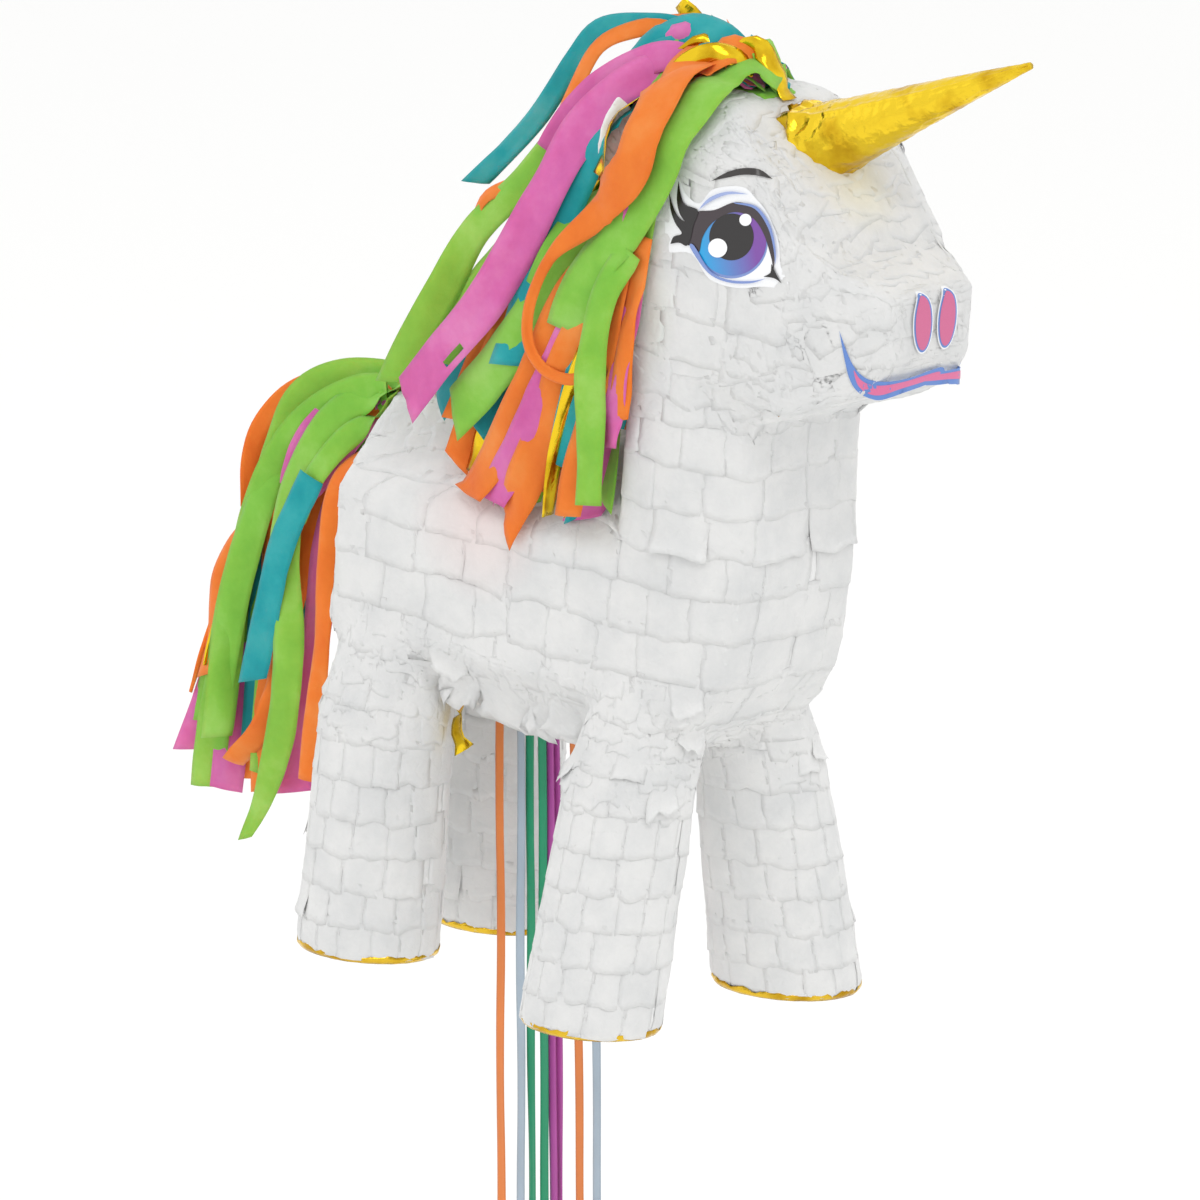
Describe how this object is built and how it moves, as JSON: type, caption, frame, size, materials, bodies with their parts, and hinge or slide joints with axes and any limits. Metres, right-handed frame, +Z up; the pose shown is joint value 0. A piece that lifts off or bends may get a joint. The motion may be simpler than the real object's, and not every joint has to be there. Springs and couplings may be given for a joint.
{
  "type": "pull-ribbon pinata",
  "caption": "Hollow card unicorn pinata with white tissue cover, foil horn, streamer mane and tail, a hanging eye, a filling flap and a belly trap door pulled open by ribbons.",
  "frame": {"origin": "centre of the loop of the hanging eye on the back", "axes": "+Z up as it hangs, +X towards the nose and horn, +Y towards its left side; the body hangs 5.5 degrees nose down"},
  "size_m": [0.5425, 0.2235, 0.9291],
  "materials": {
    "brow_stickers": "printed, satin",
    "corrugated_board": "matt",
    "galvanised_wire": "galvanised",
    "gold_foil": "metallic foil",
    "green_ribbon": "satin",
    "green_tissue_band": "matt tissue",
    "knot_ribbon": "satin",
    "left_eye_sticker": "printed, satin",
    "magenta_ribbon": "satin",
    "mouth_sticker": "printed, satin",
    "nostril_stickers": "printed, satin",
    "orange_ribbon": "satin",
    "paper_tape": "matt",
    "paper_tube": "matt",
    "pink_tissue": "matt tissue",
    "right_eye_sticker": "printed, satin",
    "silver_blue_ribbon": "satin",
    "sole_foil": "metallic foil",
    "streamer_tissue": "matt tissue and metallic foil strips",
    "white_tissue": "matt tissue",
    "white_tissue_ear": "matt tissue"
  },
  "bodies": {
    "shell": {"back_board": "corrugated_board", "belly_board": "corrugated_board", "body_tissue": "white_tissue", "brow_stickers": "brow_stickers", "chest_board": "corrugated_board", "crown_board": "corrugated_board", "ear_linings": "pink_tissue", "face_board": "corrugated_board", "fill_tape": "paper_tape", "front_left_leg": "paper_tube", "front_right_leg": "paper_tube", "hanger_plate": "corrugated_board", "hanging_eye": "galvanised_wire", "head_left_board": "corrugated_board", "head_nape_board": "corrugated_board", "head_right_board": "corrugated_board", "head_tissue": "white_tissue", "horn_core": "paper_tube", "horn_foil": "gold_foil", "jaw_board": "corrugated_board", "left_ear": "white_tissue_ear", "left_eye_sticker": "left_eye_sticker", "left_flank_board": "corrugated_board", "leg_tissues": "white_tissue", "mane_band": "green_tissue_band", "mane_crest": "streamer_tissue", "mane_left_fall": "streamer_tissue", "mane_right_fall": "streamer_tissue", "mouth_sticker": "mouth_sticker", "muzzle_board": "corrugated_board", "neck_left_board": "corrugated_board", "neck_nape_board": "corrugated_board", "neck_right_board": "corrugated_board", "nose_board": "corrugated_board", "nostril_stickers": "nostril_stickers", "rear_left_leg": "paper_tube", "rear_right_leg": "paper_tube", "right_ear": "white_tissue_ear", "right_eye_sticker": "right_eye_sticker", "right_flank_board": "corrugated_board", "rump_board": "corrugated_board", "sole_discs": "sole_foil", "tail_streamers": "streamer_tissue", "tail_tie": "green_tissue_band", "throat_board": "corrugated_board", "trap_tape_fixed": "paper_tape"},
    "trap_door": {"trap_door": "corrugated_board", "trap_tape_moving": "paper_tape", "ribbon_knots": "knot_ribbon"},
    "fill_flap": {"fill_flap": "corrugated_board"},
    "ribbon_orange_rear": {"ribbon_orange_rear": "orange_ribbon"},
    "ribbon_silver_rear": {"ribbon_silver_rear": "silver_blue_ribbon"},
    "ribbon_green_rear": {"ribbon_green_rear": "green_ribbon"},
    "ribbon_green_front": {"ribbon_green_front": "green_ribbon"},
    "ribbon_magenta_rear": {"ribbon_magenta_rear": "magenta_ribbon"},
    "ribbon_magenta_front": {"ribbon_magenta_front": "magenta_ribbon"},
    "ribbon_orange_front": {"ribbon_orange_front": "orange_ribbon"},
    "ribbon_silver_front": {"ribbon_silver_front": "silver_blue_ribbon"}
  },
  "joints": [
    {"name": "trap_door_hinge", "type": "hinge", "parent": "shell", "child": "trap_door", "pos_m": [-0.01457, 0, -0.1513], "axis": [0, -1, 0], "range_deg": [0, 80]},
    {"name": "fill_flap_hinge", "type": "hinge", "parent": "shell", "child": "fill_flap", "pos_m": [-0.11591, 0, -0.00391], "axis": [0, 1, 0], "range_deg": [0, 75]},
    {"name": "ribbon_orange_rear_swing", "type": "hinge", "parent": "trap_door", "child": "ribbon_orange_rear", "pos_m": [-0.08861, -0.007, -0.14819], "axis": [0, -1, 0], "range_deg": [-80, 0]},
    {"name": "ribbon_silver_rear_swing", "type": "hinge", "parent": "trap_door", "child": "ribbon_silver_rear", "pos_m": [-0.07667, -0.005, -0.14934], "axis": [0, -1, 0], "range_deg": [-80, 0]},
    {"name": "ribbon_green_rear_swing", "type": "hinge", "parent": "trap_door", "child": "ribbon_green_rear", "pos_m": [-0.07219, -0.003, -0.14977], "axis": [0, -1, 0], "range_deg": [-80, 0]},
    {"name": "ribbon_green_front_swing", "type": "hinge", "parent": "trap_door", "child": "ribbon_green_front", "pos_m": [-0.06621, -0.001, -0.15035], "axis": [0, -1, 0], "range_deg": [-80, 0]},
    {"name": "ribbon_magenta_rear_swing", "type": "hinge", "parent": "trap_door", "child": "ribbon_magenta_rear", "pos_m": [-0.06273, 0.001, -0.15068], "axis": [0, -1, 0], "range_deg": [-80, 0]},
    {"name": "ribbon_magenta_front_swing", "type": "hinge", "parent": "trap_door", "child": "ribbon_magenta_front", "pos_m": [-0.06074, 0.003, -0.15087], "axis": [0, -1, 0], "range_deg": [-80, 0]},
    {"name": "ribbon_orange_front_swing", "type": "hinge", "parent": "trap_door", "child": "ribbon_orange_front", "pos_m": [-0.05079, 0.005, -0.15183], "axis": [0, -1, 0], "range_deg": [-80, 0]},
    {"name": "ribbon_silver_front_swing", "type": "hinge", "parent": "trap_door", "child": "ribbon_silver_front", "pos_m": [-0.03984, 0.007, -0.15289], "axis": [0, -1, 0], "range_deg": [-80, 0]}
  ],
  "couplings": [
    {"joint": "ribbon_orange_rear_swing", "follows": "trap_door_hinge", "ratio": -1},
    {"joint": "ribbon_silver_rear_swing", "follows": "trap_door_hinge", "ratio": -1},
    {"joint": "ribbon_green_rear_swing", "follows": "trap_door_hinge", "ratio": -1},
    {"joint": "ribbon_green_front_swing", "follows": "trap_door_hinge", "ratio": -1},
    {"joint": "ribbon_magenta_rear_swing", "follows": "trap_door_hinge", "ratio": -1},
    {"joint": "ribbon_magenta_front_swing", "follows": "trap_door_hinge", "ratio": -1},
    {"joint": "ribbon_orange_front_swing", "follows": "trap_door_hinge", "ratio": -1},
    {"joint": "ribbon_silver_front_swing", "follows": "trap_door_hinge", "ratio": -1}
  ]
}
